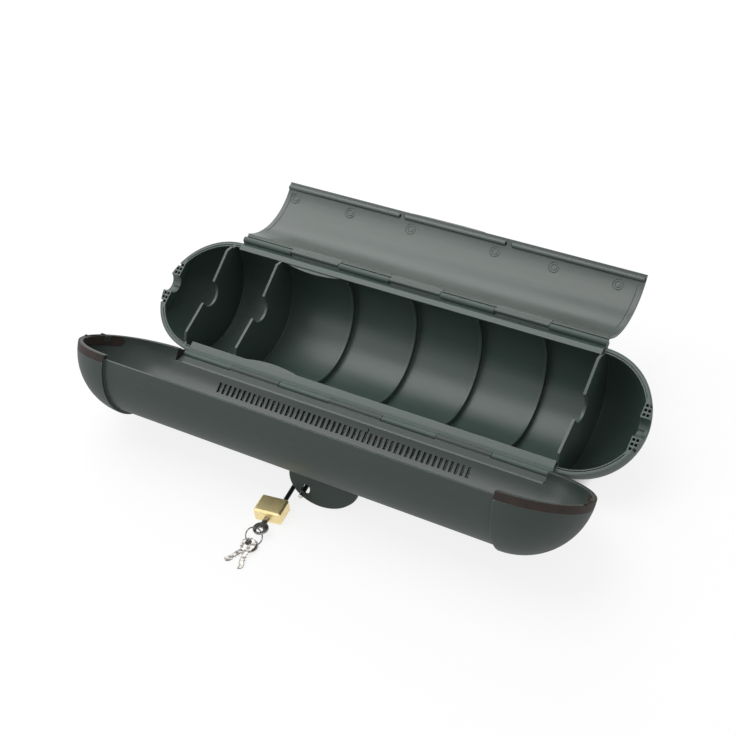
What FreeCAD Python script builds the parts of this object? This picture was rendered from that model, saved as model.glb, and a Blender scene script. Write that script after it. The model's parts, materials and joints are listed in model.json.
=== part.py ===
import FreeCAD, Part

import math
import os

from FreeCAD import Placement, Rotation, Vector

os.makedirs("parts", exist_ok=True)

# A lockable weatherproof safety box of three hinged mouldings, in millimetres.
# The box frame holds the closed box: X along its length, Z up through the cover's crown,
# Z = 0 in the rim plane, -Y at the cover's hinge and +Y at the flap's hinge.

# Shell
shell_radius = 47.0
straight_length = 300.0
wall = 2.4
rim_gap = 0.3

# Rear flap, which lies in a recess round the cover
flap_wall = 2.0
flap_gap = 0.35
flap_end_gap = 0.4
flap_start_angle = 5.0
opening_angle_cover = 118.1
opening_angle_flap = 159.6

# Rim strips along the straight sides of the base
strip_inner_reach = 6.6
strip_thickness = 2.2
strip_rise = 1.0
strip_end_gap = 1.0

# Clip hinges: a rod moulded on the base, held by knuckles of the cover or the flap
front_rod_out = 4.6
front_rod_up = 4.4
front_rod_radius = 1.5
front_knuckle_radius = 2.6
rear_rod_out = 3.1
rear_rod_up = 1.2
rear_rod_radius = 1.3
rear_knuckle_radius = 2.4
rear_hook_extra = 0.25
rod_clearance = 0.06
knuckle_clearance = 0.4
hook_mouth_angle = 100.0
hinge_length = 299.0
hinge_segments = 7
gutter_thickness = 1.0
gutter_start_angle = 195.0
gutter_end_angle = 300.0
leaf_thickness = 2.2
crease_angle = 168.0

# Vents
vent_count = 49
vent_pitch = 4.24
vent_width = 2.3
vent_centre_x = -4.1
vent_low_angle = 161.0
vent_high_angle = 150.6
slit_x = 17.9
slit_width = 1.0
slit_low_angle = 165.0

# Padlock lugs
lug_angle = 95.0
lug_thickness = 3.0
lug_gap = 0.3
lug_centre_x = 10.4
lug_half_width = 27.1
lug_root_depth = 0.2
lug_height = 18.2
lug_hole_x = -1.7
lug_hole_radius = 3.4
lug_hole_height = 10.0
flap_lug_thickness = 2.5
flap_lug_centre_x = -10.5
flap_lug_half_width = 31.0

# Hollow beads along the flap's free edge, which drop into grooves of the cover
bead_radius = 1.9
bead_bore = 1.0
bead_sunk = 0.3
bead_edge_distance = 4.0
bead_spans = ((-149.6, -49.4), (-44.6, 40.0), (45.6, 149.0))
bead_end_play = 0.3

# Ejector marks and side grooves on the flap's inside
ejector_places = (-141.0, -90.7, -37.1, 34.3, 81.8, 131.6)
ejector_rings = ((4.3, 3.6), (2.5, 1.9))
ejector_edge_distance = 12.0
ejector_depth = 0.3
side_groove_inset = 4.0
side_groove_width = 0.7
side_groove_low_angle = 30.0
side_groove_high_angle = 84.0

# Ribs in the base
rib_thickness = 2.0
tall_rib_places = (-156.5, -110.9, 149.0)
tall_rib_top = 6.1
tall_rib_shoulder = 35.7
tall_rib_dip = 3.6
rib_notch_half_width = 9.4
rib_notch_depth = 9.4
low_rib_places = (-54.0, 0.0, 53.6, 104.8)
low_rib_depth = 4.6
low_rib_end_angle = 2.5

# Exits at the two tips
exit_pad_reach = 8.0
exit_pad_depth = 7.0
cord_radius = 7.0
comb_pitch = 3.4
comb_cell = 2.0
comb_cells = 3
comb_ribs = 3
comb_rib_thickness = 0.8
comb_rib_reach = 1.2
comb_rib_height = 4.6
comb_rib_pitch = 2.0

# Rain groove round the base's end rims, and snap ledges under its rim strips
rain_groove_width = 0.7
rain_groove_depth = 1.0
rain_ring_width = 0.8
rain_ring_depth = 2.6
ledge_reach = 2.6
ledge_thickness = 1.1
front_ledge_span = (-104.0, -53.0)
rear_ledge_span = (-108.0, -56.0)

# Rubber seals round the cover's two ends
seal_height = 5.6
seal_thickness = 1.2
seal_fit = 0.02

# Padlock
lock_width = 20.0
lock_height = 16.0
lock_thickness = 10.5
lock_edge = 1.3
leg_spacing = 10.1
shackle_radius = 1.6
shackle_fit = 0.06
heel_exposed = 19.9
toe_length = 13.4
shackle_travel = 8.0
heel_engaged = 3.5
lock_yaw = 8.0
bend_behind_hole = 4.5
toe_side_play = 1.0

# Lock works
plug_radius = 3.2
plug_length = 9.5
plug_fit = 0.05
pin_radius = 0.75
pin_fit = 0.05
pin_count = 3
pin_pitch = 2.4
first_pin_depth = 3.0
driver_length = 1.5
chamber_plug_length = 1.6
latch_radius = 1.0
latch_length = 5.1
latch_throw = 0.8
latch_depth = 2.1
latch_bore_end = 3.1
latch_fit = 0.1
cam_radius = 0.4
cam_reach = 0.64
heel_bore_floor = 2.0
cup_thickness = 1.0
spring_wire = 0.36

# Keys and ring
key_thickness = 1.0
blade_width = 3.8
blade_length = 14.5
blade_in_lock = 8.8
bow_radius = 5.4
bow_hole_radius = 2.3
bow_hole_offset = 1.6
bite_half_width = 0.8
ring_radius = 6.0
ring_wire_radius = 0.45
ring_tilt = 45.0
ring_heading = 78.0

X_AXIS = Vector(1, 0, 0)
ORIGIN = Vector(0, 0, 0)
FAR = 1000.0

cover_radius = shell_radius - flap_wall - flap_gap
half_straight = straight_length / 2
lug_base_radius = shell_radius - lug_root_depth
lug_hole_reach = lug_base_radius + lug_hole_height
inner_radius = shell_radius - wall
cover_inner_radius = cover_radius - wall
front_rod = Vector(0, -(shell_radius + front_rod_out), front_rod_up)
rear_rod = Vector(0, shell_radius + rear_rod_out, rear_rod_up)


def rad(angle):
    return math.radians(angle)


def at_angle(radius, angle, x=0.0):
    """A point of the box's cross-section, by its angle from the rear rim over the crown."""
    return Vector(x, radius * math.cos(rad(angle)), radius * math.sin(rad(angle)))


def prism(points, x_start, x_end):
    """A cross-section in Y and Z, drawn along X between two places."""
    corners = [Vector(x_start, y, z) for y, z in points]
    face = Part.Face(Part.makePolygon(corners + corners[:1]))
    return face.extrude(Vector(x_end - x_start, 0, 0))


def rod_along_x(radius, centre, x_start, x_end):
    start = Vector(x_start, centre.y, centre.z)
    return Part.makeCylinder(radius, x_end - x_start, start, X_AXIS)


def ring_sector(inner, outer, angle_start, angle_end, x_start, x_end):
    """A slice of a tube round the box's axis, between two angles from the rear rim."""
    corners = [
        Vector(x_start, inner, 0),
        Vector(x_end, inner, 0),
        Vector(x_end, outer, 0),
        Vector(x_start, outer, 0),
    ]
    face = Part.Face(Part.makePolygon(corners + corners[:1]))
    face.rotate(ORIGIN, X_AXIS, angle_start)
    return face.revolve(ORIGIN, X_AXIS, angle_end - angle_start)


def capsule_arc(radius, side, start, end):
    """An arc of the capsule's end on one side, from one point to another, in the XY plane."""
    centre = Vector(side * half_straight, 0, 0)
    middle = (start - centre) + (end - centre)
    middle.normalize()
    return Part.Arc(start, centre + middle * radius, end).toShape()


def half_capsule(radius, turn):
    """A solid half of a capsule, turned from the rear rim up or down through half a turn."""
    tip = half_straight + radius
    left = capsule_arc(radius, -1, Vector(-tip, 0, 0), Vector(-half_straight, radius, 0))
    top = Part.makeLine(Vector(-half_straight, radius, 0), Vector(half_straight, radius, 0))
    right = capsule_arc(radius, 1, Vector(half_straight, radius, 0), Vector(tip, 0, 0))
    base = Part.makeLine(Vector(tip, 0, 0), Vector(-tip, 0, 0))
    face = Part.Face(Part.Wire([left, top, right, base]))
    return face.revolve(ORIGIN, X_AXIS, turn)


def box_between(low, high):
    size = high - low
    return Part.makeBox(size.x, size.y, size.z, low)


def fused(shapes):
    body = shapes[0].multiFuse(shapes[1:])
    return body.removeSplitter()


def hinge_spans(odd):
    """The stretches of the hinge that belong to the base, or in between to what it carries."""
    segment = hinge_length / hinge_segments
    spans = []
    for index in range(hinge_segments):
        start = -hinge_length / 2 + index * segment
        if index % 2 == odd:
            spans.append((start + odd * knuckle_clearance, start + segment - odd * knuckle_clearance))
    return spans


# Base trough, one moulding: the half capsule with its rim strips, ribs, hinge rods and end exits


def rim_strip(side, outer_edge):
    """The strip that stiffens one straight rim, standing on the top of the wall."""
    low = strip_rise
    high = strip_rise + strip_thickness
    inner = shell_radius - strip_inner_reach
    wall_edge = max(outer_edge, shell_radius - 0.2)
    section = [
        (side * inner, low),
        (side * inner, high),
        (side * outer_edge, high),
        (side * wall_edge, low),
        (side * shell_radius, 0.0),
        (side * (shell_radius - 0.1), -wall),
        (side * (inner_radius - 0.1), -wall),
        (side * (inner_radius - 0.1), low),
    ]
    reach = half_straight - strip_end_gap
    return prism(section, -reach, reach)


def base_knuckles(rod, rod_radius, knuckle_radius, foot):
    """The rod and the solid knuckles that carry it, each on an arm from the rim."""
    shapes = [rod_along_x(rod_radius, rod, -hinge_length / 2, hinge_length / 2)]
    for start, end in hinge_spans(0):
        shapes.append(rod_along_x(knuckle_radius, rod, start, end))
        shapes.append(prism(foot, start, end))
    return shapes


def tall_rib(x):
    """A rib across the trough, proud of the rim, with a round notch in its middle."""
    room = half_capsule(inner_radius + wall / 2, -180)
    slab = box_between(
        Vector(x - rib_thickness / 2, -shell_radius, -shell_radius),
        Vector(x + rib_thickness / 2, shell_radius, 0),
    )
    below = room.common(slab)
    strip_inner = shell_radius - strip_inner_reach
    top = [
        (-strip_inner - 1.0, -1.0),
        (-strip_inner - 1.0, strip_rise + strip_thickness / 2),
        (-tall_rib_shoulder, tall_rib_top),
        (0.0, tall_rib_top - tall_rib_dip),
        (tall_rib_shoulder, tall_rib_top),
        (strip_inner + 1.0, strip_rise + strip_thickness / 2),
        (strip_inner + 1.0, -1.0),
    ]
    above = prism(top, x - rib_thickness / 2, x + rib_thickness / 2)
    over_straight = abs(x) < half_straight
    if not over_straight:
        keep = half_capsule(inner_radius - 3.0, 180)
        above = above.common(keep.fuse(half_capsule(inner_radius - 3.0, -180)))
    rib = below.fuse(above)
    notch_bottom = Vector(0, 0, rib_notch_half_width - rib_notch_depth)
    round_cut = rod_along_x(rib_notch_half_width, notch_bottom, x - rib_thickness, x + rib_thickness)
    mouth = box_between(
        Vector(x - rib_thickness, -rib_notch_half_width, notch_bottom.z),
        Vector(x + rib_thickness, rib_notch_half_width, shell_radius),
    )
    return rib.cut(round_cut.fuse(mouth))


def low_rib(x):
    """A shallow rib that follows the wall of the trough."""
    return ring_sector(
        inner_radius - low_rib_depth,
        inner_radius + wall / 2,
        low_rib_end_angle - 180,
        -low_rib_end_angle,
        x - rib_thickness / 2,
        x + rib_thickness / 2,
    )


def cord_exit(side):
    """The pad round the exit at one tip, and what is cut out of it and the shell."""
    tip = half_straight + shell_radius
    chord = tip - exit_pad_reach
    block = box_between(
        Vector(min(side * chord, side * tip), -shell_radius, -exit_pad_depth),
        Vector(max(side * chord, side * tip), shell_radius, 0),
    )
    pad = block.common(half_capsule(inner_radius + wall / 2, -180))
    channel_start = side * (chord - wall)
    channel_end = side * (tip + wall)
    channel_low, channel_high = sorted((channel_start, channel_end))
    channel = rod_along_x(cord_radius, ORIGIN, channel_low, channel_high)
    cells = []
    for row in range(2):
        for index in range(comb_cells):
            for hand in (-1, 1):
                near = cord_radius + 1.2 + index * comb_pitch
                x_near = chord + 0.9 + row * (comb_cell + 0.7)
                low_y = hand * near if hand > 0 else hand * (near + comb_cell)
                low_x = side * x_near if side > 0 else side * (x_near + comb_cell)
                cells.append(
                    box_between(
                        Vector(low_x, low_y, -exit_pad_depth * 0.6),
                        Vector(low_x + comb_cell, low_y + comb_cell, wall),
                    )
                )
    return pad, [channel] + cells


def end_layer(outer, inner, low, high, turn):
    """What lies between two capsules at both ends of the box, from one height to another."""
    layer = half_capsule(outer, turn).cut(half_capsule(inner, turn))
    reach = half_straight + shell_radius
    ends = [
        box_between(Vector(start, -shell_radius, low), Vector(end, shell_radius, high))
        for start, end in ((-reach, -half_straight), (half_straight, reach))
    ]
    return layer.common(ends[0].fuse(ends[1]))


def rain_ring():
    """The inner wall of the groove that catches rain under the cover's end rims."""
    groove_inner = inner_radius - rain_groove_width
    ring_inner = groove_inner - rain_ring_width
    foot = end_layer(inner_radius + wall / 2, ring_inner, -rain_ring_depth, -rain_groove_depth, -180)
    lip = end_layer(groove_inner, ring_inner, -rain_ring_depth, 0, -180)
    return foot.fuse(lip)


def snap_ledge(side, span):
    """A thin ledge under one rim strip, with a bowed edge."""
    start, end = span
    edge = side * (shell_radius - strip_inner_reach + 0.5)
    bow = side * (shell_radius - strip_inner_reach - ledge_reach)
    low = strip_rise
    arc = Part.Arc(Vector(start, edge, low), Vector((start + end) / 2, bow, low), Vector(end, edge, low)).toShape()
    back = Part.makeLine(Vector(end, edge, low), Vector(start, edge, low))
    return Part.Face(Part.Wire([arc, back])).extrude(Vector(0, 0, ledge_thickness))


def hinge_gutter():
    """The moulded gutter that the flap's hooks turn in, along the outside of the rear wall."""
    inner = rear_knuckle_radius + 2 * rear_hook_extra
    section = [
        Vector(-hinge_length / 2, inner, 0),
        Vector(hinge_length / 2, inner, 0),
        Vector(hinge_length / 2, inner + gutter_thickness, 0),
        Vector(-hinge_length / 2, inner + gutter_thickness, 0),
    ]
    face = Part.Face(Part.makePolygon(section + section[:1]))
    face.rotate(ORIGIN, X_AXIS, gutter_start_angle)
    gutter = face.revolve(ORIGIN, X_AXIS, gutter_end_angle - gutter_start_angle)
    gutter.translate(rear_rod)
    return gutter


def make_base():
    shell = half_capsule(shell_radius, -180).cut(half_capsule(inner_radius, -180))
    strip_high = strip_rise + strip_thickness
    front_edge = shell_radius + front_rod_out - 3.0
    rear_edge = inner_radius - 0.2
    front_foot = [
        (-front_edge + 1.0, strip_rise),
        (-front_edge + 1.0, strip_high),
        (front_rod.y + 0.6, front_rod.z + front_knuckle_radius * 0.9),
        (front_rod.y - 1.2, front_rod.z - front_knuckle_radius * 0.8),
        (-shell_radius, -wall),
        (-inner_radius - 0.5, -wall),
    ]
    rear_foot = [
        (inner_radius + 0.6, -2 * wall),
        (inner_radius + 0.6, -0.2),
        (shell_radius - 0.2, 0.0),
        (rear_rod.y - 0.6, rear_rod.z + rear_knuckle_radius * 0.8),
        (rear_rod.y + 1.2, rear_rod.z - rear_knuckle_radius * 0.8),
        (shell_radius - 0.6, -2 * wall),
    ]
    pieces = [shell, rim_strip(-1, front_edge), rim_strip(1, rear_edge)]
    pieces += base_knuckles(front_rod, front_rod_radius, front_knuckle_radius, front_foot)
    pieces += base_knuckles(rear_rod, rear_rod_radius, rear_knuckle_radius, rear_foot)
    pieces += [tall_rib(x) for x in tall_rib_places]
    pieces += [low_rib(x) for x in low_rib_places]
    pieces += [hinge_gutter(), rain_ring()]
    pieces += [snap_ledge(-1, front_ledge_span), snap_ledge(1, rear_ledge_span)]
    cuts = []
    for side in (-1, 1):
        pad, openings = cord_exit(side)
        pieces.append(pad)
        cuts += openings
    base = fused(pieces)
    for cut in cuts:
        base = base.cut(cut)
    return base


# Hooks: open rings on the cover and the flap that clip over the base's rods


def hook_rings(rod, rod_radius, ring_radius_outer, mouth_direction, arm):
    shapes = []
    for start, end in hinge_spans(1):
        ring = rod_along_x(ring_radius_outer, rod, start, end).fuse(prism(arm, start, end))
        bore = rod_along_x(rod_radius + rod_clearance, rod, start - 1, end + 1)
        reach = 2 * ring_radius_outer
        half_mouth = hook_mouth_angle / 2
        mouth = [
            (rod.y, rod.z),
            (
                rod.y + reach * math.cos(rad(mouth_direction - half_mouth)),
                rod.z + reach * math.sin(rad(mouth_direction - half_mouth)),
            ),
            (
                rod.y + 1.6 * reach * math.cos(rad(mouth_direction)),
                rod.z + 1.6 * reach * math.sin(rad(mouth_direction)),
            ),
            (
                rod.y + reach * math.cos(rad(mouth_direction + half_mouth)),
                rod.z + reach * math.sin(rad(mouth_direction + half_mouth)),
            ),
        ]
        shapes.append(ring.cut(bore.fuse(prism(mouth, start - 1, end + 1))))
    return shapes


def lug_frame(offset):
    """The plane of the padlock lugs: X along the box, Y outwards, Z round towards the front."""
    outwards = at_angle(1, lug_angle)
    around = at_angle(1, lug_angle + 90)
    matrix = FreeCAD.Matrix(
        1, 0, 0, around.x * offset,
        0, outwards.y, around.y, around.y * offset,
        0, outwards.z, around.z, around.z * offset,
        0, 0, 0, 1,
    )
    return Placement(matrix)


def lug_plate(centre_x, half_width, thickness, root_radius):
    """A half-round plate with the padlock's hole, drawn flat with its height along Y."""
    ellipse = Part.Ellipse(Vector(centre_x, lug_base_radius, 0), half_width, lug_height)
    arc = Part.ArcOfEllipse(ellipse, 0, math.pi).toShape()
    left = Vector(centre_x - half_width, lug_base_radius, 0)
    right = Vector(centre_x + half_width, lug_base_radius, 0)
    root_left = Vector(left.x, root_radius, 0)
    root_right = Vector(right.x, root_radius, 0)
    sides = [
        Part.makeLine(left, root_left),
        Part.makeLine(root_left, root_right),
        Part.makeLine(root_right, right),
    ]
    plate = Part.Face(Part.Wire([arc] + sides)).extrude(Vector(0, 0, thickness))
    hole = Part.makeCylinder(lug_hole_radius, 3 * thickness, Vector(lug_hole_x, lug_hole_reach, -thickness))
    return plate.cut(hole)


# Front cover, one moulding: the other half capsule, recessed for the flap, with vents and lug


def cover_profile():
    """The cover's wall along its length, cut by a plane through its axis."""
    tip = half_straight + shell_radius
    inner_tip = half_straight + inner_radius
    left_out = Vector(-half_straight, shell_radius, 0)
    right_out = Vector(half_straight, shell_radius, 0)
    left_in = Vector(-half_straight, cover_inner_radius, 0)
    right_in = Vector(half_straight, cover_inner_radius, 0)
    corners = [
        left_out,
        Vector(-half_straight, cover_radius, 0),
        Vector(half_straight, cover_radius, 0),
        right_out,
    ]
    quarter = math.pi / 2
    right_cap = Part.Ellipse(Vector(half_straight, 0, 0), inner_radius, cover_inner_radius)
    left_cap = Part.Ellipse(Vector(-half_straight, 0, 0), inner_radius, cover_inner_radius)
    edges = [capsule_arc(shell_radius, -1, Vector(-tip, 0, 0), left_out)]
    edges += [Part.makeLine(a, b) for a, b in zip(corners, corners[1:])]
    edges.append(capsule_arc(shell_radius, 1, right_out, Vector(tip, 0, 0)))
    edges.append(Part.makeLine(Vector(tip, 0, 0), Vector(inner_tip, 0, 0)))
    edges.append(Part.ArcOfEllipse(right_cap, 0, quarter).toShape())
    edges.append(Part.makeLine(right_in, left_in))
    edges.append(Part.ArcOfEllipse(left_cap, quarter, 2 * quarter).toShape())
    edges.append(Part.makeLine(Vector(-inner_tip, 0, 0), Vector(-tip, 0, 0)))
    return Part.Face(Part.Wire(edges))


def vent_slots():
    first = vent_centre_x - vent_pitch * (vent_count - 1) / 2
    slots = []
    for index in range(vent_count):
        x = first + index * vent_pitch
        slots.append(
            ring_sector(
                cover_inner_radius - wall,
                cover_radius + wall,
                vent_high_angle,
                vent_low_angle,
                x - vent_width / 2,
                x + vent_width / 2,
            )
        )
    slots.append(
        ring_sector(
            cover_inner_radius - wall,
            cover_radius + wall,
            vent_high_angle,
            slit_low_angle,
            slit_x - slit_width / 2,
            slit_x + slit_width / 2,
        )
    )
    return slots


def make_seal(side):
    """The rubber strip let into the outside of the rim round one end of the cover."""
    layer = half_capsule(shell_radius, 180).cut(half_capsule(shell_radius - seal_thickness, 180))
    reach = half_straight + shell_radius + wall
    start = side * (half_straight + seal_fit)
    band = box_between(
        Vector(min(start, side * reach), -shell_radius - wall, rim_gap),
        Vector(max(start, side * reach), shell_radius + wall, rim_gap + seal_height),
    )
    return layer.common(band)


def bead_place():
    """The middle of the flap's beads in the cross-section of the closed box."""
    flap_inner = shell_radius - flap_wall
    edge_angle = lug_angle - math.degrees((lug_gap + bead_edge_distance) / flap_inner)
    return at_angle(flap_inner + bead_sunk, edge_angle)


def exit_comb(side):
    """Thin ribs inside one tip of the cover, on both sides of the round notch."""
    layer = half_capsule(inner_radius + wall / 2, 180).cut(half_capsule(inner_radius - comb_rib_reach, 180))
    start = side * half_straight
    end = side * (half_straight + shell_radius)
    ribs = []
    for hand in (-1, 1):
        for index in range(comb_ribs):
            near = hand * (cord_radius + (index + 1) * comb_rib_pitch)
            far = near + hand * comb_rib_thickness
            ribs.append(
                box_between(
                    Vector(min(start, end), min(near, far), 2 * rim_gap),
                    Vector(max(start, end), max(near, far), comb_rib_height),
                )
            )
    return layer.common(fused(ribs))


def make_cover():
    shell = cover_profile().revolve(ORIGIN, X_AXIS, 180)
    rim_cut = box_between(Vector(-FAR, -FAR, -FAR), Vector(FAR, FAR, rim_gap))
    strip_high = strip_rise + strip_thickness
    rear_room = box_between(
        Vector(-half_straight, 0, -FAR),
        Vector(half_straight, FAR, strip_high + rim_gap),
    )
    front_room = ring_sector(
        cover_inner_radius - wall,
        shell_radius + wall,
        crease_angle,
        190,
        -half_straight,
        half_straight,
    )
    shell = shell.cut(rim_cut).cut(rear_room).cut(front_room)
    crease_out = at_angle(cover_radius, crease_angle)
    crease_in = at_angle(cover_inner_radius, crease_angle)
    above = at_angle(cover_radius - 0.2, crease_angle - 1)
    above_in = at_angle(cover_inner_radius + 0.2, crease_angle - 1)
    hook_radius = front_knuckle_radius + 0.2
    towards = crease_out - front_rod
    towards.normalize()
    across = Vector(0, -towards.z, towards.y)
    near = front_rod + towards * (hook_radius + 0.5)
    leaf = [
        (above.y, above.z),
        (crease_out.y, crease_out.z),
        (near.y + across.y * leaf_thickness / 2, near.z + across.z * leaf_thickness / 2),
        (near.y - across.y * leaf_thickness / 2, near.z - across.z * leaf_thickness / 2),
        (crease_in.y, crease_in.z),
        (above_in.y, above_in.z),
    ]
    reach = half_straight - strip_end_gap
    root = front_rod + towards * (hook_radius + 1.2)
    arm = [
        (front_rod.y + across.y * 1.1, front_rod.z + across.z * 1.1),
        (root.y + across.y * 1.0, root.z + across.z * 1.0),
        (root.y - across.y * 1.0, root.z - across.z * 1.0),
        (front_rod.y - across.y * 1.1, front_rod.z - across.z * 1.1),
    ]
    hooks = hook_rings(front_rod, front_rod_radius, hook_radius, 225.0, arm)
    plate = lug_plate(lug_centre_x, lug_half_width, lug_thickness, cover_radius - wall / 2)
    plate.Placement = lug_frame(0.0)
    combs = [exit_comb(side) for side in (-1, 1)]
    cover = fused([shell, prism(leaf, -reach, reach), plate] + hooks + combs)
    cover = cover.cut(Part.makeCompound(vent_slots()))
    for side in (-1, 1):
        cover = cover.cut(make_seal(side))
        notch_start = side * (half_straight + shell_radius / 2)
        notch_end = side * (half_straight + shell_radius + wall)
        behind_seal = box_between(
            Vector(min(notch_start, notch_end), -cord_radius, 0),
            Vector(max(notch_start, notch_end), cord_radius, rim_gap + seal_height - 0.4),
        )
        notch = rod_along_x(cord_radius, ORIGIN, min(notch_start, notch_end), max(notch_start, notch_end))
        cover = cover.cut(notch.common(behind_seal))
    grooves = [
        rod_along_x(bead_radius + flap_gap, bead_place(), start - bead_end_play, end + bead_end_play)
        for start, end in bead_spans
    ]
    return cover.cut(Part.makeCompound(grooves))


# Rear flap, one moulding: a curved panel that closes over the cover's recess


def make_flap():
    flap_inner = shell_radius - flap_wall
    reach = half_straight - flap_end_gap
    end_angle = lug_angle - math.degrees(lug_gap / flap_inner)
    panel = ring_sector(flap_inner, shell_radius, flap_start_angle, end_angle, -reach, reach)
    hook_radius = rear_knuckle_radius + rear_hook_extra
    low_out = at_angle(shell_radius, flap_start_angle)
    low_in = at_angle(flap_inner, flap_start_angle)
    high_out = at_angle(shell_radius - 0.1, flap_start_angle + 2)
    high_in = at_angle(flap_inner + 0.1, flap_start_angle + 2)
    middle = (low_out + low_in) * 0.5
    towards = middle - rear_rod
    towards.normalize()
    across = Vector(0, -towards.z, towards.y)
    near = rear_rod + towards * (hook_radius + 0.4)
    leaf = [
        (high_out.y, high_out.z),
        (near.y - across.y * 0.9, near.z - across.z * 0.9),
        (near.y + across.y * 0.9, near.z + across.z * 0.9),
        (high_in.y, high_in.z),
    ]
    arm = [
        (rear_rod.y - across.y * 1.1, rear_rod.z - across.z * 1.1),
        (middle.y - across.y * 0.8, middle.z - across.z * 0.8),
        (middle.y + across.y * 0.8, middle.z + across.z * 0.8),
        (rear_rod.y + across.y * 1.1, rear_rod.z + across.z * 1.1),
    ]
    hooks = hook_rings(rear_rod, rear_rod_radius, hook_radius, -45.0, arm)
    plate = lug_plate(flap_lug_centre_x, flap_lug_half_width, flap_lug_thickness, flap_inner + 0.2)
    plate.Placement = lug_frame(-lug_gap - flap_lug_thickness)
    bead_centre = bead_place()
    beads = [rod_along_x(bead_radius, bead_centre, start, end) for start, end in bead_spans]
    bores = [rod_along_x(bead_bore, bead_centre, start - 1, end + 1) for start, end in bead_spans]
    hinge_reach = half_straight - strip_end_gap
    flap = fused([panel, prism(leaf, -hinge_reach, hinge_reach), plate] + hooks + beads)
    lug_hole_cut = Part.makeCylinder(
        lug_hole_radius,
        6 * flap_lug_thickness,
        Vector(lug_hole_x, lug_hole_reach, -3 * flap_lug_thickness),
    )
    lug_hole_cut.Placement = lug_frame(0.0)
    mark_angle = end_angle - math.degrees(ejector_edge_distance / flap_inner)
    outwards = at_angle(1, mark_angle)
    marks = []
    for x in ejector_places:
        foot = Vector(x, 0, 0) + outwards * (flap_inner - 1.0)
        depth = 1.0 + ejector_depth
        for outer, inner in ejector_rings:
            ring = Part.makeCylinder(outer, depth, foot, outwards)
            marks.append(ring.cut(Part.makeCylinder(inner, depth, foot, outwards)))
    for side in (-1, 1):
        groove_x = side * (reach - side_groove_inset)
        marks.append(
            ring_sector(
                flap_inner - 1.0,
                flap_inner + ejector_depth,
                side_groove_low_angle,
                side_groove_high_angle,
                groove_x - side_groove_width / 2,
                groove_x + side_groove_width / 2,
            )
        )
    return flap.cut(Part.makeCompound(bores)).cut(lug_hole_cut).cut(Part.makeCompound(marks))


# Placement of the open box: the base lies on its round back and the cover's lug rests on the table


def turned(point, centre, angle):
    """A point of the cross-section after a turn about a line along X."""
    offset = point - centre
    cosine = math.cos(rad(angle))
    sine = math.sin(rad(angle))
    return centre + Vector(offset.x, offset.y * cosine - offset.z * sine, offset.y * sine + offset.z * cosine)


tip_reach = lug_base_radius + lug_height
lug_tips = [
    at_angle(1, lug_angle) * tip_reach + at_angle(1, lug_angle + 90) * offset
    for offset in (0.0, lug_thickness)
]


def tilt_on_table(tip):
    """The box's lean that brings an open cover's lug tip down to the table."""
    opened = turned(tip, front_rod, opening_angle_cover)
    reach = math.hypot(opened.y, opened.z)
    heading = math.degrees(math.atan2(opened.z, opened.y))
    return 180.0 + math.degrees(math.asin(shell_radius / reach)) - heading


box_tilt = min(tilt_on_table(tip) for tip in lug_tips)


def box_to_table(shape):
    shape = shape.copy()
    shape.rotate(ORIGIN, X_AXIS, box_tilt)
    shape.translate(Vector(0, 0, shell_radius))
    return shape


def opened_cover(shape):
    shape = shape.copy()
    shape.rotate(front_rod, X_AXIS, opening_angle_cover)
    return box_to_table(shape)


def opened_flap(shape):
    shape = shape.copy()
    shape.rotate(rear_rod, X_AXIS, -opening_angle_flap)
    return box_to_table(shape)


def table_point(point, pivot, angle):
    moved = turned(turned(point, pivot, angle), ORIGIN, box_tilt)
    return moved + Vector(0, 0, shell_radius)


# Padlock, lying on the table with its open shackle hooked through the cover's lug

hole_middle = at_angle(lug_hole_reach, lug_angle) + at_angle(lug_thickness / 2, lug_angle + 90)
hole_on_table = table_point(Vector(lug_hole_x, hole_middle.y, hole_middle.z), front_rod, opening_angle_cover)
leg_direction = Vector(-math.sin(rad(lock_yaw)), math.cos(rad(lock_yaw)), 0)
lock_across = Vector(math.cos(rad(lock_yaw)), math.sin(rad(lock_yaw)), 0)
toe_rise = hole_on_table.z - lock_thickness / 2
toe_reach = math.sqrt(leg_spacing ** 2 - toe_rise ** 2)
bend_start = hole_on_table + leg_direction * bend_behind_hole - X_AXIS * toe_side_play
heel_bend = bend_start - lock_across * toe_reach - Vector(0, 0, toe_rise)
heel_at_top = heel_bend - leg_direction * heel_exposed
lock_top_middle = heel_at_top - lock_across * (leg_spacing / 2)
lock_centre = lock_top_middle - leg_direction * (lock_height / 2)


def place_lock(shape):
    """From the lock's own frame, X across, Y towards the shackle and Z up, to the table."""
    shape = shape.copy()
    shape.rotate(ORIGIN, Vector(0, 0, 1), lock_yaw)
    shape.translate(lock_centre)
    return shape


heel_x = leg_spacing / 2
lock_top = lock_height / 2
lock_bottom = -lock_height / 2
Y_AXIS = Vector(0, 1, 0)
latch_y = lock_top - latch_depth
pin_places = [lock_bottom + first_pin_depth + index * pin_pitch for index in range(pin_count)]
heel_floor = lock_bottom + heel_bore_floor
plug_top = lock_bottom + plug_length
blade_near = -1.5
blade_far = blade_near + blade_width


def bar(radius, start, direction, length):
    return Part.makeCylinder(radius, length, start, direction)


def coil(radius, length, turns, start, direction):
    """A coil spring of square wire, with its axis from a start point along a direction."""
    pitch = (length - spring_wire) / turns
    helix = Part.makeHelix(pitch, pitch * turns, radius)
    half = spring_wire / 2
    corners = [
        Vector(radius - half, 0, -half),
        Vector(radius + half, 0, -half),
        Vector(radius + half, 0, half),
        Vector(radius - half, 0, half),
    ]
    section = Part.makePolygon(corners + corners[:1])
    wire = Part.Wire(helix).makePipeShell([section], True, True)
    wire.translate(Vector(0, 0, half))
    if wire.Volume < 0:
        wire.reverse()
    wire.Placement = Placement(start, Rotation(Vector(0, 0, 1), direction)).multiply(wire.Placement)
    return wire


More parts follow.
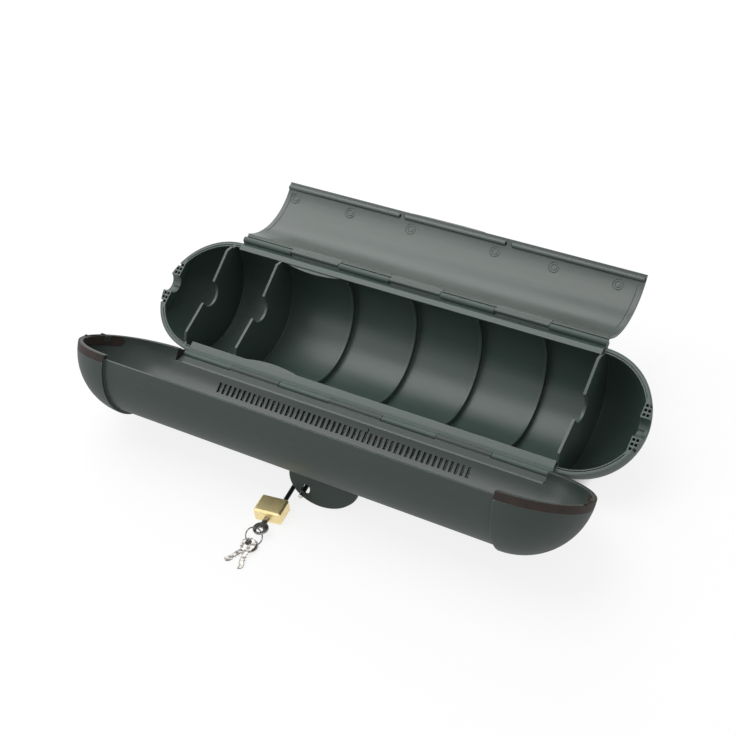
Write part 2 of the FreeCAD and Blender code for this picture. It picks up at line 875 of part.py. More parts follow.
def make_lock_body():
    body = box_between(
        Vector(-lock_width / 2, lock_bottom, -lock_thickness / 2),
        Vector(lock_width / 2, lock_top, lock_thickness / 2),
    )
    body = body.makeChamfer(lock_edge, body.Edges)
    bore = shackle_radius + shackle_fit
    cuts = [
        bar(bore, Vector(heel_x, lock_top + 1, 0), Y_AXIS * -1, lock_top + 1 - heel_floor),
        bar(bore + 0.2, Vector(-heel_x, lock_top + 1, 0), Y_AXIS * -1, 1 + shackle_travel - 2.2),
        bar(plug_radius + plug_fit, Vector(0, lock_bottom - 1, 0), Y_AXIS, plug_length + 1.3),
        bar(cam_reach + cam_radius + latch_fit, Vector(0, plug_top, 0), Y_AXIS, latch_y + 0.3 - plug_top),
        bar(latch_radius + pin_fit, Vector(-heel_x, latch_y, 0), X_AXIS, heel_x + latch_bore_end),
    ]
    for y in pin_places:
        cuts.append(bar(pin_radius + pin_fit, Vector(0, y, 0), X_AXIS * -1, lock_width))
    return body.cut(fused(cuts))


def make_shackle():
    """The bent rod, in the lock's frame, with its toe swung out to the far side of the heel."""
    toe_turn = 180.0 - math.degrees(math.asin(toe_rise / leg_spacing))
    heel_end = Vector(0, lock_top - heel_engaged, 0)
    heel_top = Vector(0, lock_top + heel_exposed, 0)
    toe_top = Vector(-leg_spacing, heel_top.y, 0)
    toe_end = Vector(-leg_spacing, heel_top.y - toe_length, 0)
    bend = Part.Arc(heel_top, Vector(-leg_spacing / 2, heel_top.y + leg_spacing / 2, 0), toe_top).toShape()
    path = Part.Wire([Part.makeLine(heel_end, heel_top), bend, Part.makeLine(toe_top, toe_end)])
    section = Part.Wire(Part.makeCircle(shackle_radius, heel_end, Y_AXIS))
    rod = path.makePipeShell([section], True, False)
    notch_centre = Vector(-leg_spacing, toe_end.y + 1.9, 0)
    notch = box_between(
        notch_centre + Vector(shackle_radius - latch_throw - 0.1, -1.2, -shackle_radius),
        notch_centre + Vector(2 * shackle_radius, 1.2, shackle_radius),
    )
    rod = rod.cut(notch)
    tip = rod.Edges
    toe_rims = [
        edge for edge in tip
        if edge.Closed and abs(edge.BoundBox.YMax - toe_end.y) < 0.01 and edge.BoundBox.XMin < -leg_spacing
    ]
    rod = rod.makeChamfer(0.4, toe_rims)
    rod.rotate(ORIGIN, Y_AXIS, toe_turn)
    rod.translate(Vector(heel_x, 0, 0))
    return rod


def key_shape(inside_cuts):
    """A flat key, its blade along +Y from Y = 0 and its round bow below."""
    blade = box_between(
        Vector(blade_near, -1.0, -key_thickness / 2),
        Vector(blade_far, blade_length, key_thickness / 2),
    )
    tip = [
        Vector(blade_near, blade_length - 1.6, -key_thickness),
        Vector(blade_near - 1, blade_length + 1, -key_thickness),
        Vector(blade_near + 2.4, blade_length + 1, -key_thickness),
    ]
    nose = Part.Face(Part.makePolygon(tip + tip[:1])).extrude(Vector(0, 0, 2 * key_thickness))
    middle_x = (blade_near + blade_far) / 2
    bow_centre = Vector(middle_x, -bow_radius * 0.86, -key_thickness / 2)
    bow = Part.makeCylinder(bow_radius, key_thickness, bow_centre)
    hole = Part.makeCylinder(
        bow_hole_radius,
        2 * key_thickness,
        bow_centre + Vector(0, -bow_hole_offset, -key_thickness / 2),
    )
    cuts = [nose, hole]
    for place, depth in inside_cuts:
        bite = [
            Vector(blade_near - 0.1, place - bite_half_width - 0.4 * depth, -key_thickness),
            Vector(blade_near + depth, place - bite_half_width, -key_thickness),
            Vector(blade_near + depth, place + bite_half_width, -key_thickness),
            Vector(blade_near - 0.1, place + bite_half_width + 0.4 * depth, -key_thickness),
        ]
        cuts.append(Part.Face(Part.makePolygon(bite + bite[:1])).extrude(Vector(0, 0, 2 * key_thickness)))
    return blade.fuse(bow).cut(fused(cuts)).removeSplitter()


# The key's bites meet the pins when its blade is fully in, so they follow the pins' places
bite_depths = (0.5, 1.0, 0.7)
blade_start = lock_bottom - (blade_length - blade_in_lock)
bites = [(y - blade_start, depth) for y, depth in zip(pin_places, bite_depths)]


# The cam pin sweeps a quarter turn about the plug's axis and carries the latch along with it
cam_side = cam_reach * math.sqrt(0.5)


def make_plug():
    body = bar(plug_radius, Vector(0, lock_bottom - 0.3, 0), Y_AXIS, plug_length + 0.3)
    slot = box_between(
        Vector(blade_near - 0.15, lock_bottom - 1, -key_thickness / 2 - 0.1),
        Vector(blade_far + 0.15, lock_bottom + blade_in_lock + 0.2, key_thickness / 2 + 0.1),
    )
    cam_start = Vector(-cam_side, plug_top - 0.2, -cam_side)
    cam = bar(cam_radius, cam_start, Y_AXIS, latch_y + 0.4 - plug_top)
    deepest = Vector(blade_near + max(bite_depths) + 0.2, 0, 0)
    pins = [
        bar(pin_radius + pin_fit, deepest + Y_AXIS * y, X_AXIS * -1, 2 * plug_radius)
        for y in pin_places
    ]
    return body.fuse(cam).cut(fused([slot] + pins))


def make_key_pins():
    pins = []
    for y, depth in zip(pin_places, bite_depths):
        start = Vector(-plug_radius + 0.05, y, 0)
        length = plug_radius - 0.05 + blade_near + depth - 0.05
        pins.append(bar(pin_radius, start, X_AXIS, length))
    return Part.makeCompound(pins)


driver_start = plug_radius + plug_fit
spring_start = driver_start + driver_length
chamber_end = lock_width / 2 - 0.2
spring_end = chamber_end - chamber_plug_length


def make_driver_pins():
    return Part.makeCompound(
        [bar(pin_radius, Vector(-driver_start, y, 0), X_AXIS * -1, driver_length) for y in pin_places]
    )


def make_pin_springs():
    length = spring_end - spring_start
    return Part.makeCompound(
        [
            coil(pin_radius - spring_wire / 2, length, 4, Vector(-spring_start, y, 0), X_AXIS * -1)
            for y in pin_places
        ]
    )


def make_chamber_plugs():
    return Part.makeCompound(
        [bar(pin_radius, Vector(-spring_end, y, 0), X_AXIS * -1, chamber_plug_length) for y in pin_places]
    )


latch_end = -heel_x + shackle_radius + shackle_fit - latch_throw + latch_length


def make_latch():
    start = Vector(latch_end - latch_length, latch_y, 0)
    notch = box_between(
        Vector(-cam_side - cam_radius - latch_fit, latch_y - latch_radius, -latch_radius - latch_fit),
        Vector(-cam_side + cam_radius + latch_fit, latch_y + 0.3, cam_radius - cam_side + latch_fit),
    )
    return bar(latch_radius, start, X_AXIS, latch_length).cut(notch)


def make_latch_spring():
    length = latch_bore_end - latch_end
    return coil(latch_radius - spring_wire / 2 - 0.1, length, 4, Vector(latch_end, latch_y, 0), X_AXIS)


cup_top = lock_top - heel_engaged


def make_spring_cup():
    return bar(shackle_radius, Vector(heel_x, cup_top - cup_thickness, 0), Y_AXIS, cup_thickness)


def make_heel_spring():
    length = cup_top - cup_thickness - heel_floor
    return coil(shackle_radius - spring_wire / 2 - 0.1, length, 6, Vector(heel_x, heel_floor, 0), Y_AXIS)


# Ring and loose keys: the ring leans through the bow of the key in the lock down to the table

key_x = (blade_near + blade_far) / 2
bow_hole_below = bow_radius * 0.86 + bow_hole_offset
key_hole_local = Vector(key_x, blade_start - bow_hole_below, 0)
lock_placement = Placement(lock_centre, Rotation(Vector(0, 0, 1), lock_yaw))
key_hole = lock_placement.multVec(key_hole_local)
ring_along = Vector(math.cos(rad(ring_heading)), math.sin(rad(ring_heading)), 0)
ring_side = Vector(-ring_along.y, ring_along.x, 0)
ring_up = ring_side * math.cos(rad(ring_tilt)) + Vector(0, 0, math.sin(rad(ring_tilt)))
ring_height = ring_radius * math.sin(rad(ring_tilt)) + ring_wire_radius
ring_rise = (key_hole.z - ring_height) / (ring_radius * math.sin(rad(ring_tilt)))
ring_place = math.degrees(math.asin(ring_rise))


def ring_offset(angle):
    return ring_along * (ring_radius * math.cos(rad(angle))) + ring_up * (ring_radius * math.sin(rad(angle)))


ring_centre = key_hole - ring_offset(ring_place)


def make_ring():
    return Part.makeTorus(ring_radius, ring_wire_radius, ring_centre, ring_along.cross(ring_up))


def loose_key(ring_angle, heading, pitch, roll):
    """A key threaded on the ring at an angle round it, its blade pointing along a heading."""
    flat = key_shape([(place, 0.8) for place in (4.0, 6.4, 8.8)])
    flat.translate(Vector(-key_x, bow_hole_below, 0))
    turn = Rotation(Vector(0, 0, 1), heading - 90.0)
    turn = turn.multiply(Rotation(X_AXIS, pitch)).multiply(Rotation(Y_AXIS, roll))
    flat.Placement = Placement(ring_centre + ring_offset(ring_angle), turn).multiply(flat.Placement)
    return flat


lower_key_angle = -140.0
upper_key_angle = -168.0
lower_key = loose_key(lower_key_angle, 243.0, -3.6, 0.0)
upper_key = loose_key(upper_key_angle, 286.0, -8.0, 0.0)

key_in_lock = key_shape(bites)
key_in_lock.translate(Vector(0, blade_start, 0))

# The pieces, each in its place on the table, moved along Y so that the whole stands centred

nodes = {
    "base_shell": box_to_table(make_base()),
    "front_cover": opened_cover(make_cover()),
    "left_end_seal": opened_cover(make_seal(-1)),
    "right_end_seal": opened_cover(make_seal(1)),
    "rear_flap": opened_flap(make_flap()),
    "padlock_body": place_lock(make_lock_body()),
    "shackle": place_lock(make_shackle()),
    "spring_cup": place_lock(make_spring_cup()),
    "heel_spring": place_lock(make_heel_spring()),
    "latch_bolt": place_lock(make_latch()),
    "latch_spring": place_lock(make_latch_spring()),
    "lock_plug": place_lock(make_plug()),
    "key_pins": place_lock(make_key_pins()),
    "driver_pins": place_lock(make_driver_pins()),
    "pin_springs": place_lock(make_pin_springs()),
    "chamber_plugs": place_lock(make_chamber_plugs()),
    "key_in_lock": place_lock(key_in_lock),
    "key_ring": make_ring(),
    "lower_key": lower_key,
    "upper_key": upper_key,
}

whole = Part.makeCompound(list(nodes.values())).optimalBoundingBox()
centring = Vector(-(whole.XMin + whole.XMax) / 2, -(whole.YMin + whole.YMax) / 2, 0)

for name, shape in nodes.items():
    shape.translate(centring)
    shape.exportStep("parts/" + name + ".step")
    print(name, len(shape.Solids), round(shape.Volume, 1), shape.isValid())
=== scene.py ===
import json
import math

import bmesh
import bpy
from mathutils import Matrix, Vector


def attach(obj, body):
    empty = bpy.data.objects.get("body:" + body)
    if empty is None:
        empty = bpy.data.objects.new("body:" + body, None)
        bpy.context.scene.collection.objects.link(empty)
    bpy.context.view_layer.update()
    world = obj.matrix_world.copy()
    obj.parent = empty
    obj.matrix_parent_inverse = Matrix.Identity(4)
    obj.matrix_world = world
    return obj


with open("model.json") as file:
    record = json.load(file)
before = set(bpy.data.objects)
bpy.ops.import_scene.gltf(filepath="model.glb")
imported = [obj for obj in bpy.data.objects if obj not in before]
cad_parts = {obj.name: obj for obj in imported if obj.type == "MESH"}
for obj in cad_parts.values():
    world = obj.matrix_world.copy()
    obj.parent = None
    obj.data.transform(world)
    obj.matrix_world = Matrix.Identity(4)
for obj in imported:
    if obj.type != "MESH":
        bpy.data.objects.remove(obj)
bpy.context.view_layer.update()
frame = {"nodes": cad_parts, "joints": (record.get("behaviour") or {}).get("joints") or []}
joints = {joint["name"]: joint for joint in frame["joints"]}


# Base trough: one polypropylene moulding that lies on its round back. Its rim strips, ribs and
# hinge rods come out of the same mould. Outside it has a fine spark-eroded skin, inside it is
# smooth and glossy.

shell_radius = 0.047
wall = 0.0024
half_straight = 0.150
rod_out = {"cover": 0.0046, "flap": 0.0031}
rod_up = {"cover": 0.0044, "flap": 0.0012}

front_rod = Vector(joints["cover_hinge"]["pos_m"])
rear_rod = Vector(joints["flap_hinge"]["pos_m"])
rod_to_rod = rear_rod - front_rod
slope_in_box = math.atan2(
    rod_up["flap"] - rod_up["cover"], 2 * shell_radius + rod_out["cover"] + rod_out["flap"]
)
base_turn = math.atan2(rod_to_rod.z, rod_to_rod.y) - slope_in_box
cover_turn = base_turn - math.radians(joints["cover_hinge"]["range_deg"][0])
flap_turn = base_turn - math.radians(joints["flap_hinge"]["range_deg"][1])


def place_in_box(rod, turn, rod_in_box):
    """What brings a piece from the closed box's frame, turned about the rod it hangs on, to rest."""
    turned = Matrix.Rotation(turn, 4, "X")
    return Matrix.Translation(rod) @ turned @ Matrix.Translation(-Vector(rod_in_box))


front_rod_in_box = (0.0, -shell_radius - rod_out["cover"], rod_up["cover"])
rear_rod_in_box = (0.0, shell_radius + rod_out["flap"], rod_up["flap"])
base_place = place_in_box(front_rod, base_turn, front_rod_in_box)
cover_place = place_in_box(front_rod, cover_turn, front_rod_in_box)
flap_place = place_in_box(rear_rod, flap_turn, rear_rod_in_box)


bevel_samples = 6
edge_turn_low = 0.02
edge_turn_high = 0.14


class Shade:
    """One socket of a finish, which adds the maths nodes that an expression on it asks for."""

    def __init__(self, finish, socket):
        self.finish = finish
        self.socket = socket

    def maths(self, operation, first, second):
        return self.finish.node("ShaderNodeMath", {"operation": operation}, {0: first, 1: second})

    def __add__(self, other):
        return self.maths("ADD", self, other)

    def __radd__(self, other):
        return self.maths("ADD", other, self)

    def __sub__(self, other):
        return self.maths("SUBTRACT", self, other)

    def __rsub__(self, other):
        return self.maths("SUBTRACT", other, self)

    def __mul__(self, other):
        return self.maths("MULTIPLY", self, other)

    def __rmul__(self, other):
        return self.maths("MULTIPLY", other, self)

    def within(self, low, high):
        """0 at low and 1 at high, held flat outside them."""
        settings = {"clamp": True}
        return self.finish.node("ShaderNodeMapRange", settings, {0: self, 1: low, 2: high})

    def size(self):
        return self.maths("ABSOLUTE", self, 0.0)

    def root(self):
        return self.maths("SQRT", self, 0.0)

    def larger(self, other):
        return self.maths("MAXIMUM", self, other)

    def along(self, direction):
        """The dot product of two vectors."""
        settings = {"operation": "DOT_PRODUCT"}
        return self.finish.node("ShaderNodeVectorMath", settings, {0: self, 1: direction}, "Value")

    def away_from(self, point):
        settings = {"operation": "DISTANCE"}
        return self.finish.node("ShaderNodeVectorMath", settings, {0: self, 1: point}, "Value")

    def axis(self, index):
        return self.finish.node("ShaderNodeSeparateXYZ", {}, {0: self}, index)


class Finish:
    """A material under construction."""

    def __init__(self, name):
        self.material = bpy.data.materials.new(name)
        self.material.use_nodes = True
        self.tree = self.material.node_tree
        self.tree.nodes.clear()
        self.place = self.node("ShaderNodeTexCoord", {}, {}, "Object")

    def node(self, kind, settings, sockets, output=0):
        made = self.tree.nodes.new(kind)
        for name, value in settings.items():
            setattr(made, name, value)
        for key, value in sockets.items():
            if isinstance(value, Shade):
                self.tree.links.new(value.socket, made.inputs[key])
            else:
                made.inputs[key].default_value = value
        return Shade(self, made.outputs[output])

    def grain(self, size, detail=3.0, stretch=(1.0, 1.0, 1.0)):
        """Noise whose cells measure about size, in metres, drawn out along the axes by stretch."""
        drawn = self.node(
            "ShaderNodeMapping",
            {},
            {"Vector": self.place, "Scale": tuple(1.0 / part for part in stretch)},
        )
        sockets = {"Vector": drawn, "Scale": 1.0 / size, "Detail": detail}
        return self.node("ShaderNodeTexNoise", {}, sockets)

    def seen_from(self, place):
        """The point's place in the closed box's frame, for a piece that place brought to rest."""
        back = place.inverted()
        return self.node(
            "ShaderNodeMapping",
            {},
            {
                "Vector": self.place,
                "Location": tuple(back.translation),
                "Rotation": tuple(back.to_euler()),
            },
        )

    def rounded_edges(self, radius):
        """The normal with every sharp edge rounded, and a mask of the edges."""
        smooth = self.node("ShaderNodeBevel", {"samples": bevel_samples}, {"Radius": radius})
        flat = self.node("ShaderNodeNewGeometry", {}, {}, "True Normal")
        turned = 1.0 - smooth.along(flat)
        return smooth, turned.within(edge_turn_low, edge_turn_high)

    def bump(self, height, depth, normal=None):
        """A relief of height 0 to 1 that stands depth proud, in metres."""
        sockets = {"Height": height, "Distance": depth, "Strength": 1.0}
        if normal is not None:
            sockets["Normal"] = normal
        return self.node("ShaderNodeBump", {}, sockets)

    def mixed(self, factor, first, second):
        settings = {"data_type": "RGBA"}
        return self.node("ShaderNodeMix", settings, {0: factor, 6: first, 7: second}, 2)

    def surface(self, settings):
        shader = self.node("ShaderNodeBsdfPrincipled", {}, settings)
        out = self.tree.nodes.new("ShaderNodeOutputMaterial")
        self.tree.links.new(shader.socket, out.inputs["Surface"])
        return self.material


def dress(names, material):
    """Gives the pieces of these names the material, in place of what they came with."""
    for name in names:
        slots = frame["nodes"][name].data.materials
        slots.clear()
        slots.append(material)


moulded_edge_radius = 0.0005
split_half_width = 0.0002
# Lighter colour painted on the sharp edges as a painted highlight, where rounded rims would catch
# the lamps.
edge_highlight_colour = (0.20, 0.23, 0.215, 1)
sink_mark_depth = 0.0003
drawn_line_depth = 0.000012
skin_depth = 0.00003
rub_depth = 0.00001
plastic_ior = 1.49


def moulded_plastic(name, place, split_radius, colour, worn_colour, skin_gloss, inner_gloss):
    """Dark green polypropylene: dull fine skin outside, glossy inside, with flow marks, rubs and
    painted highlights along the edges.
    """
    finish = Finish(name)
    normal, edges = finish.rounded_edges(moulded_edge_radius)
    in_box = finish.seen_from(place)
    past_straight = (in_box.axis(0).size() - half_straight).larger(0.0)
    across = in_box.axis(1) * in_box.axis(1) + in_box.axis(2) * in_box.axis(2)
    radius = (across + past_straight * past_straight).root()
    inside = radius.within(split_radius + split_half_width, split_radius - split_half_width)
    skin = finish.grain(size=0.0007, detail=2.0)
    flow = finish.grain(size=0.005, detail=4.0, stretch=(16.0, 1.0, 1.0))
    cloud = finish.grain(size=0.08, detail=3.0)
    scuffs = finish.grain(size=0.0013, detail=6.0, stretch=(12.0, 1.0, 2.2))
    rubs = scuffs.within(0.62, 0.76)
    sunk = finish.grain(size=0.028, detail=1.0, stretch=(2.4, 1.0, 1.0))
    drawn = finish.grain(size=0.0008, detail=2.0, stretch=(70.0, 1.0, 1.0))
    tone = cloud.within(0.3, 0.7) * 0.4 + flow.within(0.35, 0.65) * 0.25 + rubs * 0.3
    shade = finish.mixed(tone, colour, worn_colour)
    # Painted highlight: the edges are lightened towards this colour.
    shade = finish.mixed(edges * (0.25 + 0.6 * cloud), shade, edge_highlight_colour)
    marks = 0.07 * cloud.within(0.3, 0.7) + 0.06 * flow - 0.04 * rubs + 0.05 * inside * drawn
    gloss = skin_gloss + inside * (inner_gloss - skin_gloss) + marks - edges * 0.1
    relief = finish.bump(sunk, sink_mark_depth, normal)
    relief = finish.bump(drawn * inside, drawn_line_depth, relief)
    relief = finish.bump(skin * (1.0 - 0.85 * inside), skin_depth, relief)
    relief = finish.bump(rubs, rub_depth, relief)
    return finish.surface(
        {
            "Base Color": shade,
            "Roughness": gloss,
            "Normal": relief,
            "IOR": plastic_ior,
            "Specular IOR Level": 0.5,
        }
    )


trough_plastic = moulded_plastic(
    "trough_plastic",
    base_place,
    split_radius=shell_radius - wall / 2,
    colour=(0.034, 0.058, 0.048, 1),
    worn_colour=(0.054, 0.078, 0.068, 1),
    skin_gloss=0.50,
    inner_gloss=0.27,
)
dress(["base_shell"], trough_plastic)


# Front cover: the second moulding, clipped to the base's front rod, with vents, lug and end caps.
# It is the same plastic, and handling has dulled its outside. Its colour is a little darker, as
# painted shade.

cover_wall_middle = 0.0434
cover_plastic = moulded_plastic(
    "cover_plastic",
    cover_place,
    split_radius=cover_wall_middle,
    # Darker copy of the trough's colours: painted shade.
    colour=(0.019, 0.031, 0.027, 1),
    worn_colour=(0.031, 0.045, 0.040, 1),
    skin_gloss=0.50,
    inner_gloss=0.24,
)
dress(["front_cover"], cover_plastic)


# End seals: two strips of brownish black foam rubber let into the rim round the cover's ends. Each
# is folded over the rim, so a lip lies on the inside too, with a tab that shuts the hinge's corner.

rubber_edge_radius = 0.0004
pore_depth = 0.0001
rubber_brown = (0.016, 0.010, 0.008, 1)
faded_brown = (0.034, 0.022, 0.018, 1)
seal_rubber = Finish("seal_rubber")
soft_normal = seal_rubber.rounded_edges(rubber_edge_radius)[0]
pores = seal_rubber.grain(size=0.0007, detail=4.0)
patches = seal_rubber.grain(size=0.012, detail=3.0)
rubber_shade = seal_rubber.mixed(patches.within(0.35, 0.7), rubber_brown, faded_brown)
seal_rubber.surface(
    {
        "Base Color": rubber_shade,
        "Roughness": 0.58 + 0.2 * patches,
        "Normal": seal_rubber.bump(pores, pore_depth, soft_normal),
        "Specular IOR Level": 0.35,
    }
)
dress(["left_end_seal", "right_end_seal"], seal_rubber.material)

lip_thickness = 0.0007
lip_low = 0.0006
lip_height_at_hinge = 0.0090
lip_height_at_latch = 0.0052
lip_bite = 0.0002
lip_steps = 48
tab_thickness = 0.0009
tab_reach = 0.0052
tab_height = 0.0062
tab_lift = 0.0008
tab_overlap = 0.0003
tab_bite = 0.0008
shell_inside = shell_radius - wall


def lip_section(angle):
    """The four corners of the lip's section, at an angle from the hinge side (0) to the other."""
    share = 0.5 - 0.5 * math.cos(angle)
    high = lip_height_at_hinge + (lip_height_at_latch - lip_height_at_hinge) * share
    corners = []
    for height, inwards in ((lip_low, 0.0), (lip_low, 1.0), (high, 1.0), (high, 0.0)):
        wall_radius = math.sqrt(shell_inside**2 - height**2)
        corners.append((wall_radius + lip_bite - inwards * (lip_thickness + lip_bite), height))
    return [
        (math.sin(angle) * radius, -math.cos(angle) * radius, height) for radius, height in corners
    ]


def seal_lip(name, side):
    """The inner lip of one end's seal, with its tab, on the cover."""
    points = []
    faces = []
    for step in range(lip_steps + 1):
        for along, across, height in lip_section(math.pi * step / lip_steps):
            points.append((side * (half_straight + along), across, height))
    for step in range(lip_steps):
        for corner in range(4):
            after = (corner + 1) % 4
            faces.append(
                (4 * step + corner, 4 * step + after, 4 * step + 4 + after, 4 * step + 4 + corner)
            )
    faces += [(3, 2, 1, 0), tuple(4 * lip_steps + corner for corner in range(4))]
    first = len(points)
    tab_start = side * (half_straight - tab_overlap)
    for along in (tab_start, tab_start + side * tab_thickness):
        for across, height in (
            (-shell_inside + tab_bite, lip_low),
            (-shell_radius - tab_reach, lip_low + tab_lift),
            (-shell_radius - tab_reach, lip_low + tab_height),
            (-shell_inside + tab_bite, lip_height_at_hinge),
        ):
            points.append((along, across, height))
    for corner in range(4):
        after = (corner + 1) % 4
        faces.append((first + corner, first + after, first + 4 + after, first + 4 + corner))
    faces += [tuple(range(first, first + 4)), tuple(range(first + 4, first + 8))]
    mesh = bpy.data.meshes.new(name)
    mesh.from_pydata([cover_place @ Vector(point) for point in points], [], faces)
    shape = bmesh.new()
    shape.from_mesh(mesh)
    bmesh.ops.recalc_face_normals(shape, faces=shape.faces)
    shape.to_mesh(mesh)
    shape.free()
    mesh.materials.append(seal_rubber.material)
    lip = bpy.data.objects.new(name, mesh)
    bpy.context.scene.collection.objects.link(lip)
    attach(lip, "cover")


seal_lip("left_seal_lip", -1)
seal_lip("right_seal_lip", 1)


# Rear flap: the third moulding, a glossier curved panel clipped to the base's rear rod. Its colour
# is paler than the trough's, as painted light.

flap_wall_middle = 0.0460
flap_plastic = moulded_plastic(
    "flap_plastic",
    flap_place,
    split_radius=flap_wall_middle,
    # Paler copy of the trough's colours: painted light.
    colour=(0.050, 0.066, 0.058, 1),
    worn_colour=(0.080, 0.098, 0.088, 1),
    skin_gloss=0.46,
    inner_gloss=0.25,
)
dress(["rear_flap"], flap_plastic)


# Padlock: a small solid brass body with brushed faces, and the works inside it.

lock_yaw = math.radians(8.0)
lock_across = Vector((math.cos(lock_yaw), math.sin(lock_yaw), 0.0))


new_brass = (0.96, 0.82, 0.46, 1)
handled_brass = (0.84, 0.67, 0.33, 1)
brush_line_depth = 0.00003
dent_depth = 0.00006


def brushed_brass(name, roughness):
    """Brass with fine brush lines along the body's long side, stains and small dents."""
    finish = Finish(name)
    turned = finish.node(
        "ShaderNodeMapping", {}, {"Vector": finish.place, "Rotation": (0.0, 0.0, -lock_yaw)}
    )
    finish.place = turned
    lines = finish.grain(size=0.00022, detail=3.0, stretch=(26.0, 1.0, 1.0))
    stains = finish.grain(size=0.004, detail=4.0)
    dents = finish.grain(size=0.0012, detail=5.0).within(0.66, 0.8)
    colour = finish.mixed(stains.within(0.3, 0.75), new_brass, handled_brass)
    relief = finish.bump(lines, brush_line_depth, finish.bump(dents, dent_depth))
    return finish.surface(
        {
            "Base Color": colour,
            "Metallic": 1.0,
            "Roughness": roughness + 0.16 * stains + 0.08 * lines,
            "Normal": relief,
        }
    )


brass_works = ["lock_plug", "key_pins", "driver_pins", "chamber_plugs", "latch_bolt", "spring_cup"]
dress(["padlock_body"] + brass_works, brushed_brass("lock_brass", 0.30))


# Springs inside the padlock: drawn steel wire.

drawing_depth = 0.00001
spring_steel = Finish("spring_steel")
drawn_lines = spring_steel.grain(size=0.0002, detail=3.0)
spring_steel.surface(
    {
        "Base Color": (0.50, 0.51, 0.53, 1),
        "Metallic": 1.0,
        "Roughness": 0.25 + 0.15 * drawn_lines,
        "Normal": spring_steel.bump(drawn_lines, drawing_depth),
    }
)
dress(["heel_spring", "latch_spring", "pin_springs"], spring_steel.material)


# Shackle: a bent steel rod with a black coat, worn bare at the toe that goes into the body.

toe_end = (-0.00146, -0.09115, 0.00792)
bare_length = 0.0048
bare_edge = 0.0010
bare_unevenness = 0.002
chip_depth = 0.00004
coat_black = (0.012, 0.012, 0.013, 1)
bare_steel = (0.62, 0.61, 0.58, 1)
black_coat = Finish("black_coat")
chips = black_coat.grain(size=0.0007, detail=5.0)
from_toe = black_coat.place.away_from(toe_end) + chips * bare_unevenness
bare = from_toe.within(bare_length + bare_edge, bare_length)
spots = chips.within(0.70, 0.74)
shown = bare.larger(spots)
coat_colour = black_coat.mixed(shown, coat_black, bare_steel)
black_coat.surface(
    {
        "Base Color": coat_colour,
        "Metallic": shown,
        "Roughness": 0.34 + 0.1 * chips - 0.12 * shown,
        "Normal": black_coat.bump(chips, chip_depth),
    }
)
dress(["shackle"], black_coat.material)


# Keys and their ring: stamped nickel-plated brass and a wire ring, scratched by use.

stamped_edge_radius = 0.0002
scratch_depth = 0.00002
# Painted highlight colour for the stamped edges, also used for the lighter scratches.
highlight_and_scratch_nickel = (0.80, 0.79, 0.76, 1)


def scratched_nickel(name, colour, dull_colour, roughness):
    """Nickel plate with painted highlights along the edges, lighter fine scratches and a cloudy
    haze.
    """
    finish = Finish(name)
    normal, edges = finish.rounded_edges(stamped_edge_radius)
    lines = finish.grain(size=0.00035, detail=6.0, stretch=(1.0, 12.0, 1.0))
    scratches = lines.within(0.6, 0.72)
    haze = finish.grain(size=0.0022, detail=3.0)
    shade = finish.mixed(haze.within(0.42, 0.58), colour, dull_colour)
    # The edges get a painted highlight, and the scratches are lightened half as much.
    shade = finish.mixed(edges.larger(scratches * 0.5), shade, highlight_and_scratch_nickel)
    return finish.surface(
        {
            "Base Color": shade,
            "Metallic": 1.0,
            "Roughness": roughness + 0.14 * haze + 0.1 * scratches,
            "Normal": finish.bump(scratches, scratch_depth, normal),
        }
    )


key_nickel = scratched_nickel("key_nickel", (0.30, 0.29, 0.27, 1), (0.09, 0.085, 0.08, 1), 0.2)
ring_steel = scratched_nickel("ring_steel", (0.30, 0.30, 0.30, 1), (0.12, 0.12, 0.12, 1), 0.16)
dress(["key_in_lock", "lower_key", "upper_key"], key_nickel)
dress(["key_ring"], ring_steel)


# Studio: a white table, soft light from above and the left, and the camera of the photograph.

table_reach = 6.0
table_grey = (0.90, 0.90, 0.90, 1)
table_pale = (0.93, 0.93, 0.93, 1)
pure_white = (1.0, 1.0, 1.0, 1.0)
room_strength = 0.55
background_strength = 1.0
table_mesh = bpy.data.meshes.new("table_top")
table_mesh.from_pydata(
    [
        (-table_reach, -table_reach, 0.0),
        (table_reach, -table_reach, 0.0),
        (table_reach, table_reach, 0.0),
        (-table_reach, table_reach, 0.0),
    ],
    [],
    [(0, 1, 2, 3)],
)
table = bpy.data.objects.new("table_top", table_mesh)
bpy.context.scene.collection.objects.link(table)
shadow_share = 0.16
under_half_length = 0.150
under_front = -0.042
under_back = 0.048
under_blur = 0.016
table_white = Finish("table_white")
speckle = table_white.grain(size=0.01, detail=3.0)
table_colour = table_white.mixed(speckle, table_grey, table_pale)
lit = table_white.node("ShaderNodeBsdfDiffuse", {}, {"Color": table_colour})
white = table_white.node(
    "ShaderNodeEmission", {}, {"Color": pure_white, "Strength": background_strength}
)
camera_ray = table_white.node("ShaderNodeLightPath", {}, {}, "Is Camera Ray")
glossy_ray = table_white.node("ShaderNodeLightPath", {}, {}, "Is Glossy Ray")
clear_ray = table_white.node("ShaderNodeLightPath", {}, {}, "Is Transmission Ray")
along = table_white.place.axis(0).size().within(under_half_length + under_blur, under_half_length)
from_front = table_white.place.axis(1).within(under_front - under_blur, under_front)
from_back = table_white.place.axis(1).within(under_back + under_blur, under_back)
open_table = 1.0 - along * from_front * from_back
looked_at = camera_ray.larger(glossy_ray).larger(clear_ray) * open_table
shown_floor = table_white.node(
    "ShaderNodeMixShader", {}, {0: looked_at * (1.0 - shadow_share), 1: lit, 2: white}
)
table_out = table_white.tree.nodes.new("ShaderNodeOutputMaterial")
table_white.tree.links.new(shown_floor.socket, table_out.inputs["Surface"])
table_mesh.materials.append(table_white.material)

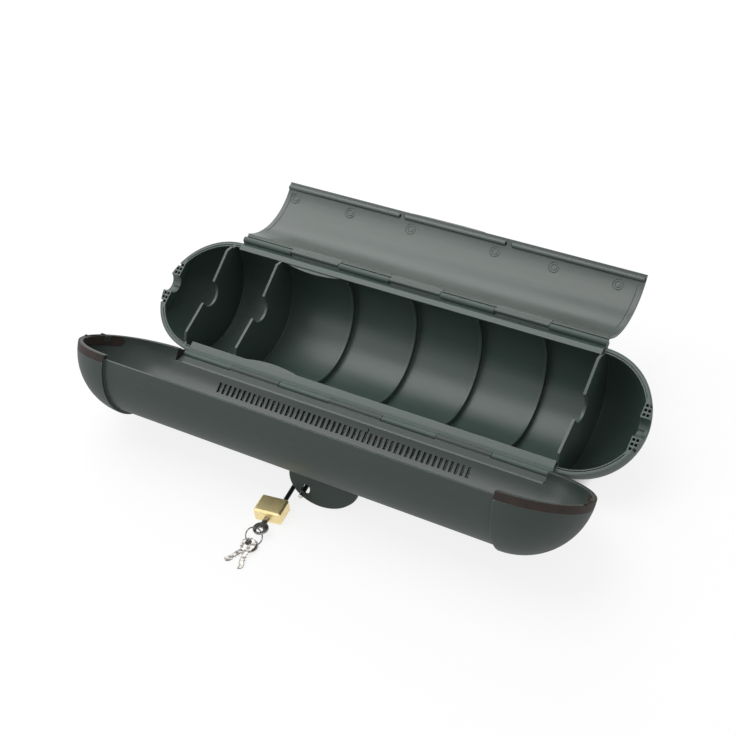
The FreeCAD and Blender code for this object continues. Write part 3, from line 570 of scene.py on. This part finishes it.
world = bpy.data.worlds.new("studio")
world.use_nodes = True
bpy.context.scene.world = world
nodes = world.node_tree.nodes
links = world.node_tree.links
nodes.clear()
seen = nodes.new("ShaderNodeLightPath")
seen_or_mirrored = nodes.new("ShaderNodeMath")
seen_or_mirrored.operation = "MAXIMUM"
seen_at_all = nodes.new("ShaderNodeMath")
seen_at_all.operation = "MAXIMUM"
room_light = nodes.new("ShaderNodeBackground")
room_light.inputs["Strength"].default_value = room_strength
white_room = nodes.new("ShaderNodeBackground")
white_room.inputs["Strength"].default_value = background_strength
for lit_room in (room_light, white_room):
    lit_room.inputs["Color"].default_value = pure_white
choice = nodes.new("ShaderNodeMixShader")
world_out = nodes.new("ShaderNodeOutputWorld")
links.new(seen.outputs["Is Camera Ray"], seen_or_mirrored.inputs[0])
links.new(seen.outputs["Is Glossy Ray"], seen_or_mirrored.inputs[1])
links.new(seen_or_mirrored.outputs[0], seen_at_all.inputs[0])
links.new(seen.outputs["Is Transmission Ray"], seen_at_all.inputs[1])
links.new(seen_at_all.outputs[0], choice.inputs[0])
links.new(room_light.outputs[0], choice.inputs[1])
links.new(white_room.outputs[0], choice.inputs[2])
links.new(choice.outputs[0], world_out.inputs["Surface"])


def soft_box(name, place, target, size, power):
    """A rectangular lamp that looks from its place towards the target."""
    lamp = bpy.data.lights.new(name, "AREA")
    lamp.shape = "RECTANGLE"
    lamp.size = size[0]
    lamp.size_y = size[1]
    lamp.energy = power
    box = bpy.data.objects.new(name, lamp)
    towards = Vector(target) - Vector(place)
    box.rotation_euler = towards.to_track_quat("-Z", "Y").to_euler()
    box.location = place
    bpy.context.scene.collection.objects.link(box)


soft_box("overhead_box", (-0.62, 0.05, 1.45), (0.0, 0.0, 0.0), (1.3, 1.4), 17.0)
soft_box("back_box", (-0.62, 1.05, 0.95), (0.0, 0.1, 0.1), (0.9, 0.7), 4.6)
soft_box("left_box", (-1.3, -1.1, 0.9), (0.0, 0.0, 0.05), (0.9, 0.9), 4.0)

camera_place = Vector((0.4424, -0.6477, 0.7039))
camera_right = Vector((0.8593, 0.5056, -0.0775))
camera_up = Vector((-0.2734, 0.5821, 0.7657))
camera_back = camera_right.cross(camera_up)
lens = bpy.data.cameras.new("camera")
lens.sensor_width = 36.0
lens.lens = 71.41
lens.clip_start = 0.01
camera = bpy.data.objects.new("camera", lens)
turn = Matrix((camera_right, camera_up, camera_back)).transposed().to_4x4()
camera.matrix_world = Matrix.Translation(camera_place) @ turn
bpy.context.scene.collection.objects.link(camera)
bpy.context.scene.camera = camera
bpy.context.scene.view_settings.view_transform = "Standard"
